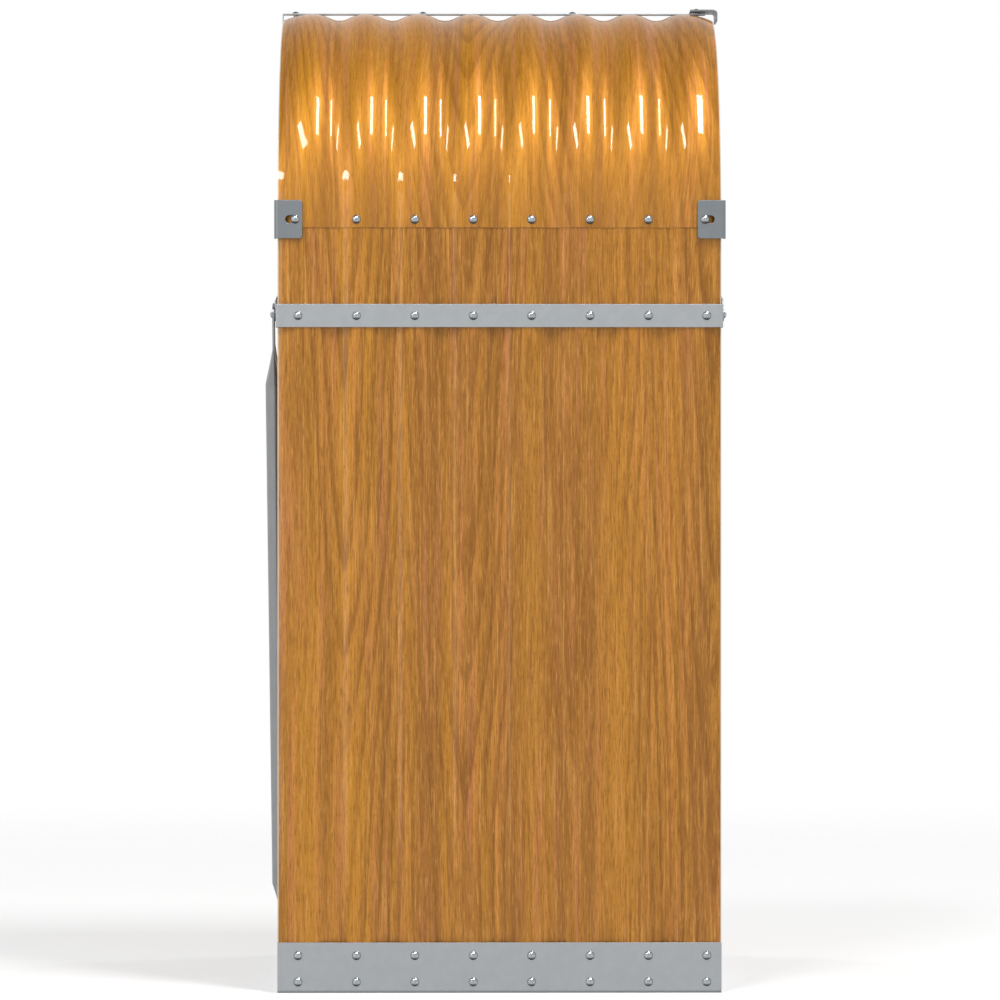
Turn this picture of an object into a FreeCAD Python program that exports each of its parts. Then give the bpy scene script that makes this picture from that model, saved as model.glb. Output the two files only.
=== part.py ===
import FreeCAD, Part
import math
import os

os.makedirs("parts", exist_ok=True)
V = FreeCAD.Vector

# All sizes are in millimetres. The front is at -Y, left is -X, and Z is up.

# Corrugated sheet
WAVE_PITCH = 76.0
WAVE_COUNT = 8
WAVE_DEPTH = 9.0
CREST_SHARE = 0.65
SHEET_END_RUN = 42.0
SHEET_END_DROP = 9.0
SHEET_T = 1.0

# Roof and wall heights
ROOF_R = 308.5
SPRING_Z = 1071.0
ROOF_SKIRT = 9.0
LAP_GAP = 0.5
EAVE_Z = 1073.0
WALL_OVER_EAVE = 10.0

# Fasteners
BOLT_D = 6.0
BOLT_CLEARANCE = 0.5
THREAD_FIT = 0.1
HEAD_D = 12.5
HEAD_H = 3.6
HEX_SIDES = 6
NUT_FLATS = 10.0
NUT_H = 5.0
BOLT_OVERRUN = 2.0
COLUMN_PITCH = 81.0
COLUMN_COUNT = 8
COLUMN_FROM_REAR = 28.5

# Base channels under the walls
BASE_H = 70.0
BASE_T = 2.0
BASE_BEND = 5.5
BASE_FIT = 0.1
BASE_ROW_LOW = 15.5
BASE_ROW_HIGH = 52.0

# Base rails and floor
RAIL_H = 66.0
RAIL_T = 2.0
RAIL_FLANGE = 34.0
RAIL_TAB = 46.0
SLAT_COUNT = 6
SLAT_W = 72.0
SLAT_T = 1.5
SLAT_EDGE = 12.0
SLAT_SIDE_GAP = 6.0
SCREW_D = 4.0
SCREW_HEAD_D = 9.0
SCREW_HEAD_H = 2.0
SCREW_LENGTH = 8.0

# Straps across the walls and their backing bars
STRAP_W = 32.0
STRAP_T = 2.0
STRAP_Z = 939.5
STRAP_BEND = 3.0
TAB_GAP = 0.5
TAB_BOLT_INSET = 25.0
TAB_BOLT_RISE = 3.0
BAR_T = 4.0
EAVE_BAR_W = 20.0
BAR_END_INSET = 12.0

# Ridge strap and its backing bar
RIDGE_STRAP_W = 18.0
RIDGE_STRAP_T = 1.6
RIDGE_BEND = 2.4
RIDGE_TAB_DROP = 35.0
RIDGE_TAB_GAP = 1.2
RIDGE_STRAP_FRONT_INSET = 8.0
RIDGE_BOLT_INNER = 108.0
RIDGE_BOLT_REAR = 292.0
RIDGE_BOLT_FRONT = 287.0
RIDGE_BAR_END_INSET = 2.0
WASHER_D = 14.0
WASHER_H = 1.6

# Slotted edge clips
CLIP_T = 3.0
CLIP_LENGTH = 39.0
CLIP_W = 53.0
CLIP_FLANGE = 14.0
CLIP_CORNER = 4.0
CLIP_BEND = 6.0
CLIP_SLOT_L = 19.0
CLIP_SLOT_W = 11.0
CLIP_SLOT_FROM_END = 4.5
CLIP_REAR_REACH = 4.6
CLIP_FRONT_REACH = 6.0
RIDGE_CLIP_REACH = 8.5

# Tube braces with flattened ends
REAR_TUBE_D = 25.0
REAR_TUBE_WALL = 1.4
REAR_PLATE = 48.0
REAR_TAPER = 53.0
REAR_END = 13.0
REAR_FOOT_Z = 35.0
REAR_FOOT_PLATE = 66.0
REAR_FOOT_TAPER = 36.0
ROOF_TUBE_D = 12.0
ROOF_TUBE_WALL = 1.2
ROOF_PLATE = 16.0
ROOF_TAPER = 30.0
ROOF_END = 9.0
VENT_D = 4.0
VENT_FROM_TAPER = 15.0
END_CORNER_SHARE = 0.8
BEND_LEAST = 1.0
BEND_PASSES = 12
TAPER_SINK = 0.1
DIAGONAL = 45.0

# Fineness of the search for edges and seats
PICK_WITHIN = 1e-4
SEAT_STEPS = 100

# Sizes that follow from those above
HALF_PITCH = WAVE_PITCH / 2
LAST_CREST = (WAVE_COUNT - 1) * HALF_PITCH
HALF_DEPTH = LAST_CREST + SHEET_END_RUN
REAR = HALF_DEPTH
FRONT = -HALF_DEPTH
HALF_WAVE = WAVE_DEPTH / 2
CREST_HALF = CREST_SHARE * HALF_PITCH
LEAN = 2 * math.atan(WAVE_DEPTH / HALF_PITCH)
CREST_R = CREST_HALF / math.sin(LEAN)
VALLEY_R = (HALF_PITCH - CREST_HALF) / math.sin(LEAN)
SHEET_END_R = (SHEET_END_RUN ** 2 + SHEET_END_DROP ** 2) / (2 * SHEET_END_DROP)
WALL_X = ROOF_R - SHEET_T - LAP_GAP
WALL_TOP = EAVE_Z + WALL_OVER_EAVE
WALL_CREST = WALL_X + HALF_WAVE + SHEET_T / 2
WALL_VALLEY = WALL_X - HALF_WAVE - SHEET_T / 2
ROOF_CREST = ROOF_R + HALF_WAVE + SHEET_T / 2
ROOF_VALLEY = ROOF_R - HALF_WAVE - SHEET_T / 2
BASE_OUT = WALL_CREST + BASE_FIT + BASE_T
BASE_IN = WALL_VALLEY - BASE_FIT - BASE_T
WALL_FOOT = BASE_BEND + BASE_FIT
BAR_IN = WALL_VALLEY - BAR_T
STRAP_OUT = WALL_CREST + STRAP_T
TAB_BOLT_X = WALL_X - TAB_BOLT_INSET
TAB_BOLT_Z = STRAP_Z + TAB_BOLT_RISE
TAB_OUT = TAB_GAP + STRAP_T
ROOF_FLAT_T = 2 * ROOF_TUBE_WALL
REAR_FLAT_T = 2 * REAR_TUBE_WALL
RIDGE_SEAT = SPRING_Z + ROOF_CREST
RIDGE_TOP = RIDGE_SEAT + RIDGE_STRAP_T
RIDGE_BAR_TOP = SPRING_Z + math.sqrt(ROOF_VALLEY ** 2 - (RIDGE_STRAP_W / 2) ** 2)
RIDGE_BAR_BOTTOM = RIDGE_BAR_TOP - BAR_T
HOLE_D = BOLT_D + BOLT_CLEARANCE
TAPPED_D = BOLT_D + THREAD_FIT
COLUMNS = [REAR - COLUMN_FROM_REAR - i * COLUMN_PITCH for i in range(COLUMN_COUNT)]
CLIP_BOLT_REAR = REAR + CLIP_REAR_REACH - CLIP_LENGTH + CLIP_SLOT_FROM_END + CLIP_SLOT_W / 2
CLIP_BOLT_FRONT = FRONT - CLIP_FRONT_REACH + CLIP_LENGTH - CLIP_SLOT_FROM_END - CLIP_SLOT_W / 2
EAVE_COLUMNS = COLUMNS[1:-1]
EAVE_ALL = EAVE_COLUMNS + [CLIP_BOLT_REAR, CLIP_BOLT_FRONT]
BASE_ROWS = [BASE_ROW_LOW, BASE_ROW_HIGH]
RIDGE_BOLTS = [RIDGE_BOLT_REAR, RIDGE_BOLT_INNER, -RIDGE_BOLT_INNER, -RIDGE_BOLT_FRONT]
SIDES = {"left": -1, "right": 1}
ENDS = {"rear": 1, "front": -1}

shapes = {}


def block(x0, x1, y0, y1, z0, z1):
    low = V(min(x0, x1), min(y0, y1), min(z0, z1))
    return Part.makeBox(abs(x1 - x0), abs(y1 - y0), abs(z1 - z0), low)


def rod(diameter, start, end):
    way = end - start
    return Part.makeCylinder(diameter / 2, way.Length, start, way)


def mirror_x(shape):
    return shape.mirror(V(0, 0, 0), V(1, 0, 0))


def round_edges(shape, radius, spots):
    picked = []
    for edge in shape.Edges:
        if any(edge.distToShape(Part.Vertex(spot))[0] < PICK_WITHIN for spot in spots):
            picked.append(edge)
    return shape.makeFillet(radius, picked)


def wave_height(s):
    # Middle of the sheet above its mean plane, with a valley at the middle of the depth
    past = abs(s) - LAST_CREST
    if past > 0:
        return HALF_WAVE - SHEET_END_R + math.sqrt(SHEET_END_R ** 2 - past ** 2)
    off = abs(s) % WAVE_PITCH
    from_valley = min(off, WAVE_PITCH - off)
    from_crest = HALF_PITCH - from_valley
    if from_crest <= CREST_HALF:
        return HALF_WAVE - CREST_R + math.sqrt(CREST_R ** 2 - from_crest ** 2)
    return VALLEY_R - HALF_WAVE - math.sqrt(VALLEY_R ** 2 - from_valley ** 2)


def arc_spots(hub, radius, up, first, last):
    # First, middle and last point of an arc, by angle from the line through its hub
    s, h = hub
    turns = (first, (first + last) / 2, last)
    return [(s + radius * math.sin(turn), h + up * radius * math.cos(turn)) for turn in turns]


def wave_line(offset):
    # Arcs along one face of the sheet: its front end, the waves, its rear end
    fall = math.asin(SHEET_END_RUN / SHEET_END_R)
    end_r = SHEET_END_R + offset
    low = HALF_WAVE - SHEET_END_R
    outmost = WAVE_COUNT - 1
    arcs = [arc_spots((-LAST_CREST, low), end_r, 1, -fall, 0)]
    for i in range(-outmost, outmost + 1):
        up = 1 if (i + outmost) % 2 == 0 else -1
        radius = CREST_R if up > 0 else VALLEY_R
        hub = (i * HALF_PITCH, up * (HALF_WAVE - radius))
        first = 0 if i == -outmost else -LEAN
        last = 0 if i == outmost else LEAN
        arcs.append(arc_spots(hub, radius + up * offset, up, first, last))
    arcs.append(arc_spots((LAST_CREST, low), end_r, 1, 0, fall))
    return arcs


def wave_face(mean, z):
    # Closed outline of the sheet's end, lying flat at height z on the right-hand side
    def spot(pair):
        return V(mean + pair[1], pair[0], z)

    outer = wave_line(SHEET_T / 2)
    inner = wave_line(-SHEET_T / 2)
    edges = [Part.Arc(*[spot(p) for p in arc]).toShape() for arc in outer]
    edges.append(Part.makeLine(spot(outer[-1][2]), spot(inner[-1][2])))
    for first, apex, last in reversed(inner):
        edges.append(Part.Arc(spot(last), spot(apex), spot(first)).toShape())
    edges.append(Part.makeLine(spot(inner[0][0]), spot(outer[0][0])))
    return Part.Face(Part.Wire(edges))


def side_holes(diameter, places, side):
    reach = ROOF_CREST + CLIP_T + HEAD_H
    short = BASE_IN - RAIL_T - BAR_T
    return [rod(diameter, V(side * short, s, z), V(side * reach, s, z)) for s, z in places]


def wall_places():
    places = [(s, EAVE_Z) for s in EAVE_ALL]
    places += [(s, STRAP_Z) for s in COLUMNS]
    places += [(s, z) for z in BASE_ROWS for s in COLUMNS]
    return places


def make_walls():
    sheet = wave_face(WALL_X, WALL_FOOT).extrude(V(0, 0, WALL_TOP - WALL_FOOT))
    wall = sheet.cut(side_holes(HOLE_D, wall_places(), 1))
    shapes["wall_right"] = wall
    shapes["wall_left"] = mirror_x(wall)


def make_roof():
    face = wave_face(ROOF_R, SPRING_Z)
    barrel = face.revolve(V(0, 0, SPRING_Z), V(0, -1, 0), 180)
    skirt = face.extrude(V(0, 0, -ROOF_SKIRT))
    sheet = barrel.fuse([skirt, mirror_x(skirt)])
    holes = []
    for side in SIDES.values():
        holes += side_holes(HOLE_D, [(s, EAVE_Z) for s in EAVE_ALL], side)
    for s in RIDGE_BOLTS:
        holes.append(rod(HOLE_D, V(0, s, RIDGE_BAR_BOTTOM), V(0, s, RIDGE_TOP)))
    shapes["roof_sheet"] = sheet.cut(holes)


def make_base_channels():
    outer = block(BASE_IN, BASE_OUT, FRONT, REAR, 0, BASE_H)
    outer = round_edges(outer, BASE_BEND, [V(BASE_IN, 0, 0), V(BASE_OUT, 0, 0)])
    inner = block(BASE_IN + BASE_T, BASE_OUT - BASE_T, FRONT, REAR, BASE_T, 2 * BASE_H)
    low_in = V(BASE_IN + BASE_T, 0, BASE_T)
    low_out = V(BASE_OUT - BASE_T, 0, BASE_T)
    inner = round_edges(inner, BASE_BEND - BASE_T, [low_in, low_out])
    places = [(s, z) for z in BASE_ROWS for s in COLUMNS]
    channel = outer.cut(inner).cut(side_holes(HOLE_D, places, 1))
    shapes["base_channel_right"] = channel
    shapes["base_channel_left"] = mirror_x(channel)


def slat_centres():
    room = BASE_IN - RAIL_T - SLAT_SIDE_GAP
    step = (2 * room - SLAT_W) / (SLAT_COUNT - 1)
    return [SLAT_W / 2 - room + i * step for i in range(SLAT_COUNT)]


def rail_column(way):
    return COLUMNS[0] if way > 0 else COLUMNS[-1]


def make_base_rails():
    for end, way in ENDS.items():
        face = way * HALF_DEPTH
        back = face - way * RAIL_T
        lip = face - way * RAIL_FLANGE
        tab_end = face - way * RAIL_TAB
        short = BASE_IN - RAIL_T - BASE_FIT
        pieces = [block(-BASE_IN, BASE_IN, face, back, 0, RAIL_H)]
        pieces.append(block(-short, short, back, lip, 0, RAIL_T))
        pieces.append(block(-short, short, back, lip, RAIL_H - RAIL_T, RAIL_H))
        for side in SIDES.values():
            tab_in = side * (BASE_IN - RAIL_T)
            pieces.append(block(side * BASE_IN, tab_in, back, tab_end, 0, RAIL_H))
        rail = pieces[0].fuse(pieces[1:]).removeSplitter()
        holes = []
        for side in SIDES.values():
            holes += side_holes(TAPPED_D, [(rail_column(way), z) for z in BASE_ROWS], side)
        for x in slat_centres():
            screw = V(x, way * screw_y(), RAIL_H)
            holes.append(rod(SCREW_D + THREAD_FIT, screw - V(0, 0, BASE_BEND), screw))
        if way > 0:
            middle = V(0, face, REAR_FOOT_Z)
            holes.append(rod(HOLE_D, middle - V(0, 2 * RAIL_T, 0), middle + V(0, RAIL_T, 0)))
        shapes["base_rail_" + end] = rail.cut(holes)


def screw_y():
    return HALF_DEPTH - (RAIL_T + RAIL_FLANGE) / 2


def make_floor():
    screws = []
    inner = HALF_DEPTH - RAIL_FLANGE - SLAT_T
    top = RAIL_H + SLAT_T
    for i, x in enumerate(slat_centres()):
        x0 = x - SLAT_W / 2
        x1 = x + SLAT_W / 2
        plate = block(x0, x1, FRONT, REAR, RAIL_H, top)
        edges = [block(x0, x0 + SLAT_T, -inner, inner, top - SLAT_EDGE, top)]
        edges.append(block(x1 - SLAT_T, x1, -inner, inner, top - SLAT_EDGE, top))
        slat = plate.fuse(edges).removeSplitter()
        for way in ENDS.values():
            seat = V(x, way * screw_y(), top)
            hole = SCREW_D + BOLT_CLEARANCE
            slat = slat.cut(rod(hole, seat - V(0, 0, BASE_BEND), seat))
            screws.append(fastener(seat, V(0, 0, 1), SCREW_LENGTH, SCREW_D, SCREW_HEAD_D, SCREW_HEAD_H))
        shapes["floor_slat_" + str(i + 1)] = slat
    shapes["slat_screws"] = Part.makeCompound(screws)


def fastener(seat, out, length, diameter=BOLT_D, head_d=HEAD_D, head_h=HEAD_H):
    # Domed head on a plain shank, with the head's underside at the seat
    ball = ((head_d / 2) ** 2 + head_h ** 2) / (2 * head_h)
    low = math.degrees(math.asin((ball - head_h) / ball))
    head = Part.makeSphere(ball, V(0, 0, head_h - ball), V(0, 0, 1), low, 90, 360)
    shank = Part.makeCylinder(diameter / 2, length + head_h / 2, V(0, 0, -length))
    screw = head.fuse(shank)
    screw.Placement = FreeCAD.Placement(seat, FreeCAD.Rotation(V(0, 0, 1), out))
    return screw


def nut(seat, out):
    # Hexagon nut whose face lies on the seat, standing out along the given way
    step = 2 * math.pi / HEX_SIDES
    corner = NUT_FLATS / 2 / math.cos(step / 2)
    ring = []
    for i in range(HEX_SIDES + 1):
        ring.append(V(corner * math.cos(i * step), corner * math.sin(i * step), 0))
    body = Part.Face(Part.makePolygon(ring)).extrude(V(0, 0, NUT_H))
    body = body.cut(rod(TAPPED_D, V(0, 0, -NUT_H), V(0, 0, 2 * NUT_H)))
    body.Placement = FreeCAD.Placement(seat, FreeCAD.Rotation(V(0, 0, 1), out))
    return body


def make_straps():
    tab_in = TAB_BOLT_X - STRAP_W / 2
    z0 = STRAP_Z - STRAP_W / 2
    z1 = STRAP_Z + STRAP_W / 2
    reach = HALF_DEPTH + TAB_OUT
    solid = block(TAB_BOLT_X, STRAP_OUT, -reach, reach, z0, z1)
    corners = [V(STRAP_OUT, reach, STRAP_Z), V(STRAP_OUT, -reach, STRAP_Z)]
    solid = round_edges(solid, STRAP_BEND, corners)
    clear = HALF_DEPTH + TAB_GAP
    hollow = block(0, WALL_CREST, -clear, clear, z0, z1)
    inner = [V(WALL_CREST, clear, STRAP_Z), V(WALL_CREST, -clear, STRAP_Z)]
    hollow = round_edges(hollow, STRAP_BEND - STRAP_T, inner)
    ends = []
    for way in ENDS.values():
        ends.append(rod(STRAP_W, V(TAB_BOLT_X, way * clear, STRAP_Z), V(TAB_BOLT_X, way * reach, STRAP_Z)))
    strap = solid.cut(hollow).fuse(ends).removeSplitter()
    holes = side_holes(HOLE_D, [(s, STRAP_Z) for s in COLUMNS], 1)
    for way in ENDS.values():
        tab = V(TAB_BOLT_X, 0, TAB_BOLT_Z)
        holes.append(rod(HOLE_D, tab, tab + V(0, way * 2 * reach, 0)))
    strap = strap.cut(holes)
    shapes["mid_strap_right"] = strap
    shapes["mid_strap_left"] = mirror_x(strap)
    for name, z, height, places in (
        ("mid_bar", STRAP_Z, STRAP_W, COLUMNS),
        ("eave_bar", EAVE_Z, EAVE_BAR_W, EAVE_ALL),
    ):
        end = HALF_DEPTH - BAR_END_INSET
        bar = block(BAR_IN, WALL_VALLEY, -end, end, z - height / 2, z + height / 2)
        bar = bar.cut(side_holes(TAPPED_D, [(s, z) for s in places], 1))
        shapes[name + "_right"] = bar
        shapes[name + "_left"] = mirror_x(bar)


def make_ridge():
    half = RIDGE_STRAP_W / 2
    rear = REAR + RIDGE_TAB_GAP + RIDGE_STRAP_T
    front = FRONT + RIDGE_STRAP_FRONT_INSET
    low = RIDGE_TOP - RIDGE_TAB_DROP
    strap = block(-half, half, front, rear, low, RIDGE_TOP)
    strap = round_edges(strap, RIDGE_BEND, [V(0, rear, RIDGE_TOP)])
    hollow = block(-half, half, front, rear - RIDGE_STRAP_T, low, RIDGE_SEAT)
    inner = V(0, rear - RIDGE_STRAP_T, RIDGE_SEAT)
    hollow = round_edges(hollow, RIDGE_BEND - RIDGE_STRAP_T, [inner])
    strap = strap.cut(hollow)
    end = HALF_DEPTH - RIDGE_BAR_END_INSET
    bar = block(-half, half, -end, end, RIDGE_BAR_BOTTOM, RIDGE_BAR_TOP)
    holes = [rod(HOLE_D, V(0, s, low), V(0, s, 2 * RIDGE_TOP)) for s in RIDGE_BOLTS]
    shapes["ridge_strap"] = strap.cut(holes)
    shapes["ridge_bar"] = bar.cut(holes)


def make_clip():
    # Lies flat on z = 0 with its bent end at y = 0, the flange turned down
    half = CLIP_W / 2
    outer = block(-half, half, -CLIP_LENGTH, 0, -CLIP_FLANGE, CLIP_T)
    outer = round_edges(outer, CLIP_BEND, [V(0, 0, CLIP_T)])
    outer = round_edges(outer, CLIP_CORNER, [V(w * half, -CLIP_LENGTH, 0) for w in (-1, 1)])
    inner = block(-half, half, -2 * CLIP_LENGTH, -CLIP_T, -CLIP_FLANGE, 0)
    inner = round_edges(inner, CLIP_BEND - CLIP_T, [V(0, -CLIP_T, 0)])
    clip = outer.cut(inner)
    first = -CLIP_LENGTH + CLIP_SLOT_FROM_END + CLIP_SLOT_W / 2
    last = first + CLIP_SLOT_L - CLIP_SLOT_W
    cuts = [rod(CLIP_SLOT_W, V(0, y, -CLIP_T), V(0, y, 2 * CLIP_T)) for y in (first, last)]
    cuts.append(block(-CLIP_SLOT_W / 2, CLIP_SLOT_W / 2, first, last, -CLIP_T, 2 * CLIP_T))
    return clip.cut(cuts)


def clip_seat(reach):
    # The roof sheet is highest under the clip's inner end
    return ROOF_R + wave_height(HALF_DEPTH + reach - CLIP_LENGTH) + SHEET_T / 2


def make_clips():
    flat = make_clip()
    upright = flat.copy()
    upright.rotate(V(0, 0, 0), V(0, 1, 0), 90)
    for end, way in ENDS.items():
        clip = upright if way > 0 else upright.mirror(V(0, 0, 0), V(0, 1, 0))
        reach = CLIP_REAR_REACH if way > 0 else CLIP_FRONT_REACH
        clip = clip.translated(V(clip_seat(reach), way * (HALF_DEPTH + reach), EAVE_Z))
        shapes["corner_clip_" + end + "_right"] = clip
        shapes["corner_clip_" + end + "_left"] = mirror_x(clip)
    top = flat.mirror(V(0, 0, 0), V(0, 1, 0))
    shapes["ridge_clip"] = top.translated(V(0, FRONT - RIDGE_CLIP_REACH, RIDGE_TOP + WASHER_H))


def flat_outline(centre, wide, thick, width, thickness):
    # Flattened tube end: two straight sides joined by quarter arcs
    r = thickness / 2
    reach = width / 2 - r
    spots = []
    for w, t in ((-1, 1), (1, 1), (1, -1), (-1, -1)):
        spots.append(centre + wide * (w * reach) + thick * (t * r))
    tip = [centre + wide * (w * width / 2) for w in (1, -1)]
    bulge = math.sin(math.radians(DIAGONAL)) * r
    edges = [Part.makeLine(spots[0], spots[1])]
    for w, first, second, last in ((1, spots[1], tip[0], spots[2]), (-1, spots[3], tip[1], spots[0])):
        hub = centre + wide * (w * reach)
        up = (first - hub) * (1 / r)
        edges.append(Part.Arc(first, hub + wide * (w * bulge) + up * bulge, second).toShape())
        edges.append(Part.Arc(second, hub + wide * (w * bulge) - up * bulge, last).toShape())
        if w > 0:
            edges.append(Part.makeLine(spots[2], spots[3]))
    return Part.Wire(edges)


def round_outline(centre, wide, thick, diameter):
    # Circle cut into six arcs that answer to the edges of the flattened end
    def spot(angle):
        turn = math.radians(angle)
        return centre + wide * (math.cos(turn) * diameter / 2) + thick * (math.sin(turn) * diameter / 2)

    stops = [DIAGONAL * n for n in (3, 1, 0, -1, -3, -4, -5)]
    edges = []
    for first, last in zip(stops, stops[1:]):
        edges.append(Part.Arc(spot(first), spot((first + last) / 2), spot(last)).toShape())
    return Part.Wire(edges)


def tube_brace(ends, diameter, wall, plates, tapers, over):
    # Tube between two bolt holes, each given as (hole centre, plate normal), with flattened ends
    thickness = 2 * wall
    width = math.pi * (diameter - wall) / 2 + wall
    bends = [ends[0][0], ends[1][0]]
    for _ in range(BEND_PASSES):
        along = (bends[1] - bends[0]).normalize()
        flats = []
        for i, (hole, normal) in enumerate(ends):
            way = along if i == 0 else along * -1
            flats.append((way - normal * way.dot(normal)).normalize())
        bends = [ends[i][0] + flats[i] * plates[i] for i in range(2)]
    solids = []
    bores = []
    rounds = []
    for i, (hole, normal) in enumerate(ends):
        way = along if i == 0 else along * -1
        wide = normal.cross(flats[i])
        plate = block(-width / 2, width / 2, -over, plates[i], -thickness / 2, thickness / 2)
        plate = round_edges(plate, over * END_CORNER_SHARE, [V(w * width / 2, -over, 0) for w in (-1, 1)])
        turn = FreeCAD.Rotation(wide, flats[i], normal, "XYZ")
        plate.Placement = FreeCAD.Placement(hole, turn)
        thick = way.cross(wide)
        start = flat_outline(bends[i] - way * TAPER_SINK, wide, thick, width, thickness)
        stop = bends[i] + way * tapers[i]
        cone = Part.makeLoft([start, round_outline(stop, wide, thick, diameter)], True, True)
        solids += [plate, cone]
        if math.degrees(way.getAngle(flats[i])) > BEND_LEAST:
            half = wide * (width / 2)
            solids.append(rod(thickness, bends[i] - half, bends[i] + half))
        bores.append(rod(HOLE_D, hole - normal * diameter, hole + normal * diameter))
        vent = stop + way * VENT_FROM_TAPER
        bores.append(rod(VENT_D, vent, vent + thick * diameter))
        rounds.append(stop)
    tube = rod(diameter, rounds[0], rounds[1])
    brace = tube.fuse(solids).removeSplitter()
    bores.append(rod(diameter - 2 * wall, rounds[0], rounds[1]))
    return brace.cut(bores)


def make_braces():
    roof_y = HALF_DEPTH + TAB_OUT + ROOF_FLAT_T / 2
    rear_y = HALF_DEPTH + TAB_OUT + ROOF_FLAT_T + REAR_FLAT_T / 2
    for i, (name, side) in enumerate(SIDES.items()):
        tab = V(side * TAB_BOLT_X, rear_y, TAB_BOLT_Z)
        foot = V(0, REAR + REAR_FLAT_T / 2 + REAR_FLAT_T * (1 - i), REAR_FOOT_Z)
        ends = [(tab, V(0, 1, 0)), (foot, V(0, 1, 0))]
        plates = (REAR_PLATE, REAR_FOOT_PLATE)
        tapers = (REAR_TAPER, REAR_FOOT_TAPER)
        shapes["rear_brace_" + name] = tube_brace(
            ends, REAR_TUBE_D, REAR_TUBE_WALL, plates, tapers, REAR_END)
        for end, way in ENDS.items():
            tab = V(side * TAB_BOLT_X, way * roof_y, TAB_BOLT_Z)
            top = V(0, way * RIDGE_BOLT_INNER, RIDGE_BAR_BOTTOM - ROOF_FLAT_T / 2 - ROOF_FLAT_T * i)
            ends = [(tab, V(0, 1, 0)), (top, V(0, 0, 1))]
            plates = (ROOF_PLATE, ROOF_PLATE)
            tapers = (ROOF_TAPER, ROOF_TAPER)
            shapes["roof_brace_" + end + "_" + name] = tube_brace(
                ends, ROOF_TUBE_D, ROOF_TUBE_WALL, plates, tapers, ROOF_END)


def eave_seat(s):
    # Highest point of the roof sheet under a bolt head
    r = HEAD_D / 2
    steps = [s + r * i / SEAT_STEPS for i in range(-SEAT_STEPS, SEAT_STEPS + 1)]
    return ROOF_R + max(wave_height(v) for v in steps) + SHEET_T / 2


def make_bolts():
    strap_bolts = []
    base_bolts = []
    eave_bolts = []
    for side in SIDES.values():
        out = V(side, 0, 0)
        for s in COLUMNS:
            seat = V(side * STRAP_OUT, s, STRAP_Z)
            strap_bolts.append(fastener(seat, out, STRAP_OUT - BAR_IN + BOLT_OVERRUN))
            for z in BASE_ROWS:
                seat = V(side * BASE_OUT, s, z)
                base_bolts.append(fastener(seat, out, BASE_OUT - BASE_IN + RAIL_T + BOLT_OVERRUN))
        clips = {CLIP_BOLT_REAR: CLIP_REAR_REACH, CLIP_BOLT_FRONT: CLIP_FRONT_REACH}
        for s in EAVE_ALL:
            seat = clip_seat(clips[s]) + CLIP_T if s in clips else eave_seat(s)
            spot = V(side * seat, s, EAVE_Z)
            eave_bolts.append(fastener(spot, out, seat - BAR_IN + BOLT_OVERRUN))
    shapes["strap_bolts"] = Part.makeCompound(strap_bolts)
    shapes["base_bolts"] = Part.makeCompound(base_bolts)
    shapes["eave_bolts"] = Part.makeCompound(eave_bolts)


def make_through_bolts():
    bolts = []
    nuts = []
    for s in RIDGE_BOLTS:
        seat = RIDGE_TOP + (WASHER_H + CLIP_T if s == -RIDGE_BOLT_FRONT else 0)
        stack = 2 * ROOF_FLAT_T if abs(s) == RIDGE_BOLT_INNER else 0
        low = RIDGE_BAR_BOTTOM - stack
        bolts.append(fastener(V(0, s, seat), V(0, 0, 1), seat - low + NUT_H + BOLT_OVERRUN))
        nuts.append(nut(V(0, s, low), V(0, 0, -1)))
    # The front clip lies on a washer on the strap
    under = V(0, -RIDGE_BOLT_FRONT, RIDGE_TOP)
    rise = V(0, 0, WASHER_H)
    bolts.append(rod(WASHER_D, under, under + rise).cut(rod(HOLE_D, under, under + rise)))
    shapes["ridge_bolts"] = Part.makeCompound(bolts)
    shapes["ridge_nuts"] = Part.makeCompound(nuts)
    bolts = []
    nuts = []
    inner = HALF_DEPTH + TAB_GAP
    for side in SIDES.values():
        for way in ENDS.values():
            seat = HALF_DEPTH + TAB_OUT + ROOF_FLAT_T + (REAR_FLAT_T if way > 0 else 0)
            x = side * TAB_BOLT_X
            out = V(0, way, 0)
            length = seat - inner + NUT_H + BOLT_OVERRUN
            bolts.append(fastener(V(x, way * seat, TAB_BOLT_Z), out, length))
            nuts.append(nut(V(x, way * inner, TAB_BOLT_Z), V(0, -way, 0)))
    shapes["tab_bolts"] = Part.makeCompound(bolts)
    shapes["tab_nuts"] = Part.makeCompound(nuts)
    seat = REAR + 2 * REAR_FLAT_T
    length = 2 * REAR_FLAT_T + RAIL_T + NUT_H + BOLT_OVERRUN
    shapes["brace_foot_bolt"] = fastener(V(0, seat, REAR_FOOT_Z), V(0, 1, 0), length)
    shapes["brace_foot_nut"] = nut(V(0, REAR - RAIL_T, REAR_FOOT_Z), V(0, -1, 0))


def write_parts():
    # Puts the middle of the whole box over the origin, then writes one file per node
    boxes = [shape.optimalBoundingBox() for shape in shapes.values()]
    middle = (min(b.YMin for b in boxes) + max(b.YMax for b in boxes)) / 2
    for name, shape in shapes.items():
        moved = shape.copy()
        moved.translate(V(0, -middle, 0))
        moved.exportStep("parts/" + name + ".step")


make_walls()
make_roof()
make_base_channels()
make_base_rails()
make_floor()
make_straps()
make_ridge()
make_clips()
make_braces()
make_bolts()
make_through_bolts()
write_parts()
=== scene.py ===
"""Firewood rack: surface finishes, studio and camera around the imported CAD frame."""

import math

import bpy
from mathutils import Matrix, Vector


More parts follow.
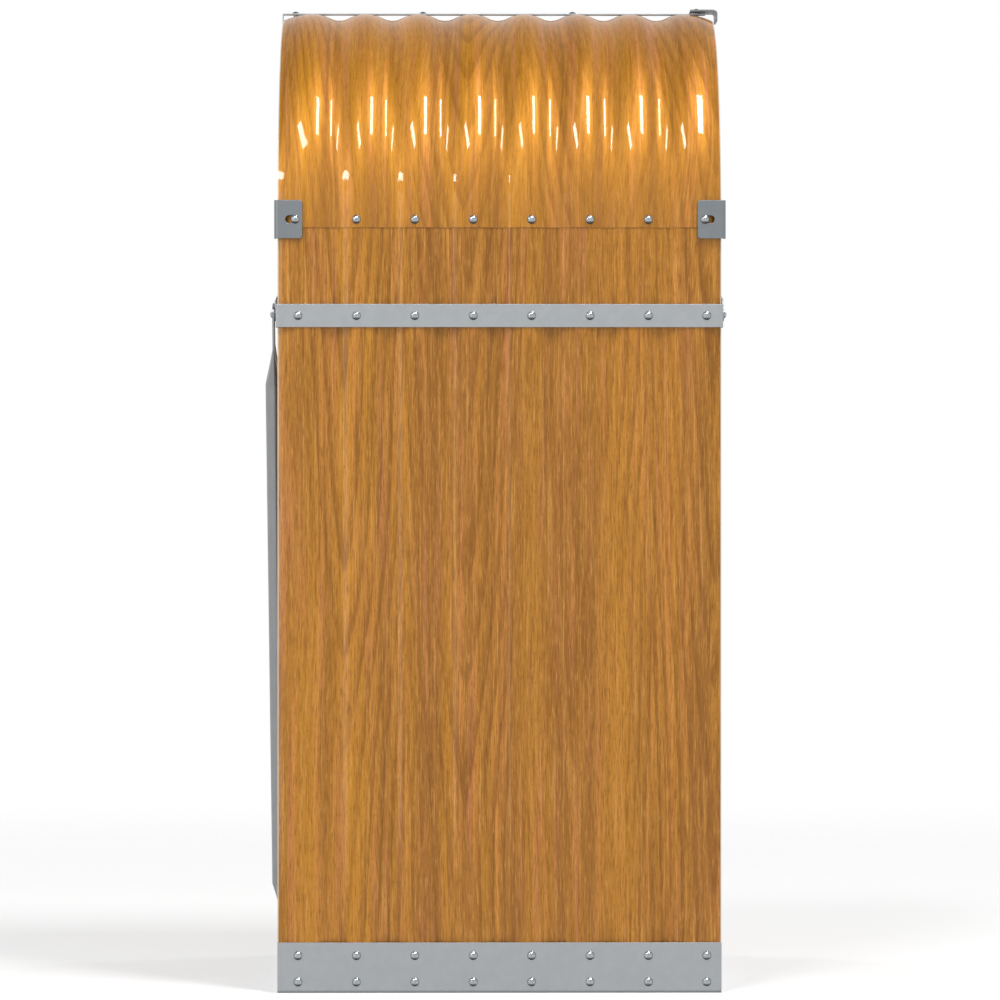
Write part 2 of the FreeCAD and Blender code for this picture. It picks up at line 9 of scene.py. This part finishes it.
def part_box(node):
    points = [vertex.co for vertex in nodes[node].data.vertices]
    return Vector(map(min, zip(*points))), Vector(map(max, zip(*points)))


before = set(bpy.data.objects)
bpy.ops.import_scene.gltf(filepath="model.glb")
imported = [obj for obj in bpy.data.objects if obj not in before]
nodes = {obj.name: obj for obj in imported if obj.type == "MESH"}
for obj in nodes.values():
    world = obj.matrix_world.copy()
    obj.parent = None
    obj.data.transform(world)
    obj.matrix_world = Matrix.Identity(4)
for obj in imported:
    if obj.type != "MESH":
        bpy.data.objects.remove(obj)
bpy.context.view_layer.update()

SIDES = ("left", "right")
ENDS = ("front", "rear")
UP = (0.0, 0.0, 1.0)
WHITE = (1.0, 1.0, 1.0, 1.0)

# Places on the rack, in metres
WALL_LOW, WALL_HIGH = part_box("wall_left")
ROOF_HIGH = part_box("roof_sheet")[1]
SHEET_Y = (WALL_LOW[1] + WALL_HIGH[1]) / 2
SHEET_HALF = (WALL_HIGH[1] - WALL_LOW[1]) / 2
WAVE_RISE = (WALL_HIGH[0] - WALL_LOW[0]) / 2
SPRING_Z = ROOF_HIGH[2] - ROOF_HIGH[0]
ROOF_R = ROOF_HIGH[0] - WAVE_RISE
RIDGE_ALONG = SPRING_Z + ROOF_R * math.pi / 2

# Camera of the photograph: a long lens square to the left wall
CAMERA_PLACE = (-7.687, 0.0572, 0.6837)
CAMERA_TARGET = (-0.303, -0.0058, 0.6837)
CAMERA_LENS = 191.4

# Lamps: distance and direction from their aim, direction of the long side, length, width, radiance
LAMP_AIM = (-0.26, SHEET_Y, 1.22)
LAMPS = {
    "key_right": (6.0, (-0.4205, -0.318, 0.850), (-0.3325, -0.040, -0.165), 2.45, 0.64, 48.0),
    "key_left": (6.0, (-0.633, 0.225, 0.741), (-0.217, -0.126, -0.135), 1.70, 0.60, 35.0),
    "spot_left": (2.72, (-0.567, 0.747, 0.346), UP, 0.17, 0.54, 32.0),
    "strip_left": (6.0, (-0.690, 0.720, 0.000), UP, 3.20, 0.70, 1.7),
    "far_front": (6.0, (0.450, -0.750, 0.480), UP, 2.20, 1.00, 7.0),
    "far_rear": (6.0, (0.450, 0.750, 0.480), UP, 2.20, 1.00, 7.0),
}

# Surroundings: their light on dull surfaces, and how far they darken towards the zenith
AMBIENT = 0.64
ZENITH_FALL = 0.88

# Floor: tone, tone of its grain, light added for the eye, and distances where it starts and ends to fade
FLOOR_TONE = 0.62
FLOOR_GRAIN_TONE = 0.98 * FLOOR_TONE
FLOOR_GRAIN = (60.0, 60.0, 60.0)
FLOOR_LIFT = 0.40
FLOOR_CLEAR = 1.1
FLOOR_END = 4.5

# Print on the sheets: zinc margin at the cut ends as a painted highlight, and half a plank's width, in
# metres
ZINC_EDGE_HIGHLIGHT_MARGIN = 0.0014
PLANK_HALF = 0.085

# Print of the left wall and of the roof, the step to the right wall's print, and to each set of patterns
LEFT_PRINT = 23.8
ROOF_PRINT = 0.0
RIGHT_STEP = 3.7
SET_STEPS = (0.0, 7.3)

# Tones of the print and of its zinc margin, lightened as a painted highlight, as display colours
TONES = {
    "golden": (194, 132, 34),
    "orange": (205, 135, 58),
    "rose": (190, 119, 74),
    "brown": (160, 105, 34),
    "dark": (122, 72, 8),
    "pale": (214, 154, 74),
    "zinc_edge_highlight": (205, 190, 168),
}

# Patterns of the print: set, cycles per metre across and along the sheet and per step, detail, roughness
PATTERNS = {
    "bands": (0, (26.0, 0.45, 1.0), 2.0, 0.55),
    "planks": (1, (4.5, 0.15, 1.0), 1.0, 0.5),
    "warm": (1, (60.0, 0.8, 1.0), 4.0, 0.7),
    "blush": (0, (150.0, 2.5, 1.0), 2.0, 0.6),
    "drift": (1, (3.0, 1.0, 1.0), 1.0, 0.5),
    "patches": (0, (7.0, 1.0, 2.0), 1.0, 0.5),
    "streaks": (1, (230.0, 5.5, 1.0), 3.0, 0.7),
    "fibres": (0, (560.0, 42.0, 1.0), 2.0, 0.6),
    "pores": (1, (620.0, 120.0, 1.0), 1.0, 0.5),
}

# Tints, in order: pattern, tone, the pattern's values where the tint starts and is full, its full share
BROAD_TINTS = (
    ("bands", "golden", 0.34, 0.62, 1.0),
    ("planks", "brown", 0.36, 0.66, 0.55),
    ("warm", "orange", 0.50, 0.68, 0.70),
    ("blush", "rose", 0.52, 0.70, 0.60),
)
FINE_TINTS = (
    ("streaks", "pale", 0.50, 0.74, 0.60),
    ("streaks", "dark", 0.49, 0.27, 0.50),
    ("fibres", "dark", 0.49, 0.27, 0.60),
    ("fibres", "pale", 0.53, 0.76, 0.55),
    ("pores", "dark", 0.57, 0.73, 0.34),
)

# Growth rings: place of the first heart, rings from heart to edge, their point and drift, the part of a ring
# where late wood starts and is darkest, and the patches' values where rings start and are full
HEART_PLACE = -2.0
RING_BOW = 5.0
RING_POINT = 1.4
RING_DRIFT = 6.0
LATE_START = 0.30
LATE_PEAK = 0.88
RING_PATCHES = (0.36, 0.58)

# Grain of each sheet: sway in metres, its cycles per metre, rings per metre, depth of rings and fine lines
ROOF_GRAIN = dict(sway=0.060, sway_scale=(4.0, 2.0, 1.0), ring_rate=12.0, ring_depth=0.40, fine=0.65)
WALL_GRAIN = dict(sway=0.016, sway_scale=(5.0, 1.6, 1.0), ring_rate=4.0, ring_depth=0.56, fine=1.0)

# Zinc-coated steel: display colour, roughness, strength of the crystals, radius of soft edges in metres
STEELS = {
    "galvanised": ((165, 169, 172), 0.42, 0.08, 0.0013),
    "strap_steel": ((171, 175, 177), 0.40, 0.12, 0.0013),
    "fitting_steel": ((132, 137, 141), 0.40, 0.10, 0.0013),
    "tube_steel": ((149, 151, 152), 0.38, 0.08, 0.0),
    "ridge_steel": ((186, 193, 198), 0.40, 0.12, 0.0004),
}

# Shades of the steel's tone: dark and light crystals, and the painted shade on undersides, from the dark
# ones
CRYSTAL_LOW = 0.90
CRYSTAL_HIGH = 1.08
UNDERSIDE_PAINTED_SHADE = 0.8

# Patterns of the steel, in cycles per metre, then the mottling's values where its effect starts and is full,
# its share in the tone, and how far it changes the roughness
CRYSTALS = 95.0
MOTTLE = (38.0, 38.0, 38.0)
GRIT = (900.0, 900.0, 900.0)
BOLT_MOTTLE = (160.0, 160.0, 160.0)
MOTTLE_RANGE = (0.3, 0.7)
MOTTLE_SHARE = 0.2
UNEVEN = 0.04

# Bolts: display colours of mottling and of painted shade under the heads, radius of soft edges in metres
BOLT_LOW = (158, 163, 166)
BOLT_HIGH = (172, 177, 180)
BOLT_PAINTED_SHADE = (74, 77, 80)
BOLT_EDGE = 0.0005

# How far surfaces face up where the painted shade on undersides starts and is full
STEEL_PAINTED_SHADE_FACING = (-0.05, -0.70)
BOLT_PAINTED_SHADE_FACING = (-0.20, -0.62)


def srgb(red, green, blue):
    """Linear colour for an 8-bit display colour."""
    def linear(value):
        c = value / 255
        return c / 12.92 if c <= 0.04045 else ((c + 0.055) / 1.055) ** 2.4
    return linear(red), linear(green), linear(blue), 1.0


def shaded(colour, factor):
    """A colour made darker or lighter."""
    return tuple(min(1.0, factor * c) for c in colour[:3]) + (1.0,)


class Nodes:
    """A node tree under construction: short calls that add nodes and return their outputs."""

    def __init__(self, tree):
        self.tree = tree

    def node(self, kind, **settings):
        made = self.tree.nodes.new(kind)
        for key, value in settings.items():
            setattr(made, key, value)
        return made

    def feed(self, socket, value):
        """Links an output to a socket, or sets a plain value on it."""
        if isinstance(value, bpy.types.NodeSocket):
            self.tree.links.new(value, socket)
        else:
            socket.default_value = value

    def math(self, operation, *values):
        made = self.node("ShaderNodeMath", operation=operation)
        for socket, value in zip(made.inputs, values):
            self.feed(socket, value)
        return made.outputs[0]

    def split(self, vector):
        """The three parts of a vector."""
        made = self.node("ShaderNodeSeparateXYZ")
        self.feed(made.inputs[0], vector)
        return tuple(made.outputs)

    def rays(self):
        """1 on rays from the eye, and 1 on rays from mirrors and glass."""
        path = self.node("ShaderNodeLightPath").outputs
        mirrored = self.math("MAXIMUM", path["Is Glossy Ray"], path["Is Transmission Ray"])
        return path["Is Camera Ray"], mirrored


class Finish(Nodes):
    """A material under construction, with the patterns that its shader takes."""

    def __init__(self, name):
        self.material = bpy.data.materials.new(name)
        self.material.use_nodes = True
        super().__init__(self.material.node_tree)
        self.shader = self.tree.nodes["Principled BSDF"]

    def position(self):
        """The object coordinates, which are the frame's own metres."""
        return self.node("ShaderNodeTexCoord").outputs["Object"]

    def facing_up(self):
        """1 where the surface faces up, -1 where it faces down."""
        return self.split(self.node("ShaderNodeNewGeometry").outputs["Normal"])[2]

    def vector(self, x, y, z):
        made = self.node("ShaderNodeCombineXYZ")
        for socket, value in zip(made.inputs, (x, y, z)):
            self.feed(socket, value)
        return made.outputs[0]

    def noise(self, place, scale, detail=2.0, roughness=0.5):
        """Noise with its own cycles per metre along each axis."""
        stretched = self.node("ShaderNodeVectorMath", operation="MULTIPLY")
        self.feed(stretched.inputs[0], place)
        self.feed(stretched.inputs[1], scale)
        made = self.node("ShaderNodeTexNoise")
        self.feed(made.inputs["Vector"], stretched.outputs[0])
        self.feed(made.inputs["Scale"], 1.0)
        self.feed(made.inputs["Detail"], detail)
        self.feed(made.inputs["Roughness"], roughness)
        return made.outputs["Fac"]

    def spread(self, value, low, high, out_low=0.0, out_high=1.0):
        """Maps low..high to out_low..out_high, held at the ends."""
        made = self.node("ShaderNodeMapRange", interpolation_type="SMOOTHSTEP")
        self.feed(made.inputs["Value"], value)
        self.feed(made.inputs["From Min"], low)
        self.feed(made.inputs["From Max"], high)
        self.feed(made.inputs["To Min"], out_low)
        self.feed(made.inputs["To Max"], out_high)
        return made.outputs["Result"]

    def mix(self, share, first, second):
        """Two colours mixed. The node's sockets 6 and 7 are the ones for colours."""
        made = self.node("ShaderNodeMix", data_type="RGBA")
        self.feed(made.inputs[0], share)
        self.feed(made.inputs[6], first)
        self.feed(made.inputs[7], second)
        return made.outputs[2]

    def tint(self, colour, tone, pattern, low, high, share=1.0):
        """Lays a tone over a colour, up to the given share, where the pattern goes from low to high."""
        return self.mix(self.spread(pattern, low, high, 0.0, share), colour, tone)

    def soft_edges(self, radius):
        made = self.node("ShaderNodeBevel", samples=6)
        self.feed(made.inputs["Radius"], radius)
        return made.outputs["Normal"]

    def bump(self, height, distance, strength, normal=None):
        made = self.node("ShaderNodeBump")
        self.feed(made.inputs["Height"], height)
        self.feed(made.inputs["Distance"], distance)
        self.feed(made.inputs["Strength"], strength)
        if normal is not None:
            self.feed(made.inputs["Normal"], normal)
        return made.outputs["Normal"]

    def set(self, **sockets):
        """Feeds the shader's sockets, named with _ for a space."""
        for name, value in sockets.items():
            self.feed(self.shader.inputs[name.replace("_", " ")], value)
        return self.material


def growth_rings(finish, across, along, drift, ring_rate, ring_depth):
    """Rings that point along the sheet at the heart of each plank, dark on their late side."""
    from_heart = finish.math("PINGPONG", finish.math("SUBTRACT", across, HEART_PLACE), PLANK_HALF)
    bow = finish.math("POWER", finish.math("DIVIDE", from_heart, PLANK_HALF), RING_POINT)
    figure = finish.math("MULTIPLY", bow, RING_BOW)
    figure = finish.math("ADD", figure, finish.math("MULTIPLY", along, -ring_rate))
    figure = finish.math("ADD", figure, finish.math("MULTIPLY", drift, RING_DRIFT))
    growth = finish.math("FRACT", figure)
    late = finish.spread(growth, LATE_START, LATE_PEAK, 0.0, ring_depth)
    return finish.math("MULTIPLY", late, finish.spread(growth, 1.0, LATE_PEAK))


def wood_colour(finish, across, along, sheet, sway, sway_scale, ring_rate, ring_depth, fine):
    """Printed timber: broad bands, growth rings in patches, then fine streaks, fibres and pores."""
    wander = finish.noise(finish.vector(across, along, sheet), sway_scale, detail=1.0)
    sideways = finish.math("MULTIPLY", finish.math("SUBTRACT", wander, 0.5), sway)
    across = finish.math("ADD", across, sideways)
    places = [finish.vector(across, along, finish.math("ADD", sheet, step)) for step in SET_STEPS]
    patterns = {}
    for name, (which, scale, detail, roughness) in PATTERNS.items():
        patterns[name] = finish.noise(places[which], scale, detail, roughness)

    tones = {name: srgb(*tone) for name, tone in TONES.items()}
    colour = tones["brown"]
    for pattern, tone, low, high, share in BROAD_TINTS:
        colour = finish.tint(colour, tones[tone], patterns[pattern], low, high, share)
    rings = growth_rings(finish, across, along, patterns["drift"], ring_rate, ring_depth)
    shown = finish.spread(patterns["patches"], *RING_PATCHES)
    colour = finish.mix(finish.math("MULTIPLY", rings, shown), colour, tones["dark"])
    for pattern, tone, low, high, share in FINE_TINTS:
        colour = finish.tint(colour, tones[tone], patterns[pattern], low, high, share * fine)
    return colour, patterns["fibres"]


def sheet_finish(name, arched):
    """Wood-print sheet: satin print under a clear gloss, with a margin of zinc along the cut ends, lightened
    as a painted highlight.
    """
    finish = Finish(name)
    x, y, z = finish.split(finish.position())
    if arched:
        turn = finish.math("ARCTAN2", x, finish.math("SUBTRACT", z, SPRING_Z))
        along = finish.math("ADD", finish.math("MULTIPLY", turn, ROOF_R), RIDGE_ALONG)
        colour, fibres = wood_colour(finish, y, along, ROOF_PRINT, **ROOF_GRAIN)
        round_arch = finish.node("ShaderNodeTangent", direction_type="RADIAL", axis="Y")
        finish.set(Anisotropic=0.3, Tangent=round_arch.outputs["Tangent"])
    else:
        right = finish.math("GREATER_THAN", x, 0.0)
        sheet = finish.math("MULTIPLY_ADD", right, RIGHT_STEP, LEFT_PRINT)
        colour, fibres = wood_colour(finish, y, z, sheet, **WALL_GRAIN)

    # Along each cut end a strip of zinc, lightened into a painted highlight.
    from_middle = finish.math("ABSOLUTE", finish.math("SUBTRACT", y, SHEET_Y))
    zinc_edge_highlight = finish.math("GREATER_THAN", from_middle, SHEET_HALF - ZINC_EDGE_HIGHLIGHT_MARGIN)
    return finish.set(
        Base_Color=finish.mix(zinc_edge_highlight, colour, srgb(*TONES["zinc_edge_highlight"])),
        Metallic=0.5,
        Roughness=0.45,
        Specular_IOR_Level=0.1,
        Coat_Weight=0.5,
        Coat_Roughness=0.04,
        Normal=finish.bump(fibres, distance=0.0002, strength=0.12),
    )


def steel_finish(name):
    """Zinc-coated steel: faint crystal flowers, mottling, painted shade on undersides and a fine rolled
    texture.
    """
    tone, roughness, spangle, edge = STEELS[name]
    finish = Finish(name)
    place = finish.position()
    crystals = finish.node("ShaderNodeTexVoronoi", feature="F1")
    finish.feed(crystals.inputs["Vector"], place)
    finish.feed(crystals.inputs["Scale"], CRYSTALS)
    flower = finish.node("ShaderNodeSeparateColor")
    finish.feed(flower.inputs[0], crystals.outputs["Color"])
    mottle = finish.noise(place, MOTTLE, detail=3.0, roughness=0.6)

    low = shaded(srgb(*tone), CRYSTAL_LOW)
    high = shaded(srgb(*tone), CRYSTAL_HIGH)
    share = finish.spread(flower.outputs[0], 0.0, 1.0, 0.5 - spangle, 0.5 + spangle)
    colour = finish.mix(share, low, high)
    colour = finish.tint(colour, low, mottle, *MOTTLE_RANGE, share=MOTTLE_SHARE)
    # Painted shade: surfaces that face down are darkened as if in shade.
    colour = finish.tint(colour, shaded(low, UNDERSIDE_PAINTED_SHADE), finish.facing_up(), *STEEL_PAINTED_SHADE_FACING)
    uneven = finish.spread(mottle, *MOTTLE_RANGE, out_low=-UNEVEN, out_high=UNEVEN)
    soft = finish.soft_edges(edge) if edge else None
    return finish.set(
        Base_Color=colour,
        Metallic=0.95,
        Roughness=finish.math("ADD", uneven, roughness),
        Normal=finish.bump(finish.noise(place, GRIT), distance=0.0001, strength=0.08, normal=soft),
    )


def bolt_finish():
    """Bright zinc on the bolts, with painted shade on the underside of their heads."""
    finish = Finish("bolt_steel")
    mottle = finish.noise(finish.position(), BOLT_MOTTLE)
    bright = finish.mix(mottle, srgb(*BOLT_LOW), srgb(*BOLT_HIGH))
    # Painted shade: the undersides of the heads are darkened as if in shade.
    return finish.set(
        Base_Color=finish.tint(bright, srgb(*BOLT_PAINTED_SHADE), finish.facing_up(), *BOLT_PAINTED_SHADE_FACING),
        Metallic=0.95,
        Roughness=finish.spread(mottle, *MOTTLE_RANGE, out_low=0.19, out_high=0.24),
        Normal=finish.soft_edges(BOLT_EDGE),
    )


def dress(material, *names):
    for name in names:
        slots = nodes[name].data.materials
        slots.clear()
        slots.append(material)


def dress_rack():
    wall = sheet_finish("wood_print_wall", arched=False)
    roof = sheet_finish("wood_print_roof", arched=True)
    steel = {name: steel_finish(name) for name in STEELS}
    bolt = bolt_finish()

    dress(wall, *(f"wall_{s}" for s in SIDES))
    dress(roof, "roof_sheet")
    dress(steel["galvanised"], *(f"base_channel_{s}" for s in SIDES), *(f"base_rail_{e}" for e in ENDS))
    dress(steel["galvanised"], *(n for n in nodes if n.startswith("floor_slat_")))
    dress(steel["strap_steel"], *(f"{p}_{s}" for p in ("mid_strap", "mid_bar", "eave_bar") for s in SIDES))
    dress(steel["ridge_steel"], "ridge_strap", "ridge_bar")
    dress(steel["fitting_steel"], *(f"corner_clip_{e}_{s}" for e in ENDS for s in SIDES), "ridge_clip")
    dress(steel["tube_steel"], *(f"rear_brace_{s}" for s in SIDES))
    dress(steel["tube_steel"], *(f"roof_brace_{e}_{s}" for e in ENDS for s in SIDES))
    dress(bolt, *(n for n in nodes if n.endswith(("_bolts", "_bolt", "_nuts", "_nut", "_screws"))))


def add_camera():
    data = bpy.data.cameras.new("camera")
    data.lens = CAMERA_LENS
    camera = bpy.data.objects.new("camera", data)
    camera.location = CAMERA_PLACE
    look = Vector(CAMERA_TARGET) - Vector(CAMERA_PLACE)
    camera.rotation_euler = look.to_track_quat("-Z", "Y").to_euler()
    bpy.context.scene.collection.objects.link(camera)
    bpy.context.scene.camera = camera


def add_lamp(name, distance, direction, long_side, length, width, radiance):
    """A rectangular lamp that faces the roof, turned so that its long side runs as given."""
    data = bpy.data.lights.new(name, "AREA")
    data.shape = "RECTANGLE"
    data.size = length
    data.size_y = width
    data.energy = radiance * math.pi * length * width
    lamp = bpy.data.objects.new(name, data)
    back = Vector(direction).normalized()
    side = Vector(long_side)
    side = (side - side.dot(back) * back).normalized()
    turn = Matrix((side, back.cross(side), back)).transposed()
    lamp.matrix_world = Matrix.Translation(Vector(LAMP_AIM) + distance * back) @ turn.to_4x4()
    bpy.context.scene.collection.objects.link(lamp)


def add_lamps():
    for name, settings in LAMPS.items():
        add_lamp(name, *settings)


def add_world():
    """White for the eye; round the rack a white horizon that darkens towards the studio's ceiling."""
    world = bpy.data.worlds.new("studio")
    bpy.context.scene.world = world
    world.use_nodes = True
    studio = Nodes(world.node_tree)
    direction = studio.node("ShaderNodeTexCoord").outputs["Generated"]
    height = studio.math("MAXIMUM", studio.split(direction)[2], 0.0)
    fall = studio.math("MULTIPLY", studio.math("MULTIPLY", height, height), ZENITH_FALL)
    sky = studio.math("SUBTRACT", 1.0, fall)
    seen, mirrored = studio.rays()
    level = studio.math("ADD", AMBIENT, studio.math("MULTIPLY", mirrored, 1.0 - AMBIENT))
    around = studio.math("MULTIPLY", sky, level)
    background = studio.tree.nodes["Background"]
    studio.feed(background.inputs["Color"], WHITE)
    studio.feed(background.inputs["Strength"], studio.math("MAXIMUM", around, seen))


def add_floor():
    """A pale floor that keeps the rack's shadow, looks white and fades into the background."""
    mesh = bpy.data.meshes.new("floor")
    ways = ((-1, -1), (1, -1), (1, 1), (-1, 1))
    mesh.from_pydata([(x * FLOOR_END, y * FLOOR_END, 0.0) for x, y in ways], [], [(0, 1, 2, 3)])
    floor = bpy.data.objects.new("floor", mesh)
    bpy.context.scene.collection.objects.link(floor)
    finish = Finish("floor")
    place = finish.position()
    away = finish.node("ShaderNodeVectorMath", operation="LENGTH")
    finish.feed(away.inputs[0], place)
    grain = finish.noise(place, FLOOR_GRAIN, detail=3.0)
    seen, mirrored = finish.rays()
    lifted = finish.math("MAXIMUM", seen, mirrored)
    finish.set(
        Base_Color=finish.mix(grain, shaded(WHITE, FLOOR_GRAIN_TONE), shaded(WHITE, FLOOR_TONE)),
        Roughness=0.9,
        Specular_IOR_Level=0.0,
        Emission_Color=WHITE,
        Emission_Strength=finish.math("MULTIPLY", lifted, FLOOR_LIFT),
        Alpha=finish.spread(away.outputs["Value"], FLOOR_CLEAR, FLOOR_END, 1.0, 0.0),
    )
    mesh.materials.append(finish.material)


dress_rack()
add_camera()
add_lamps()
add_world()
add_floor()
bpy.context.scene.view_settings.view_transform = "Standard"
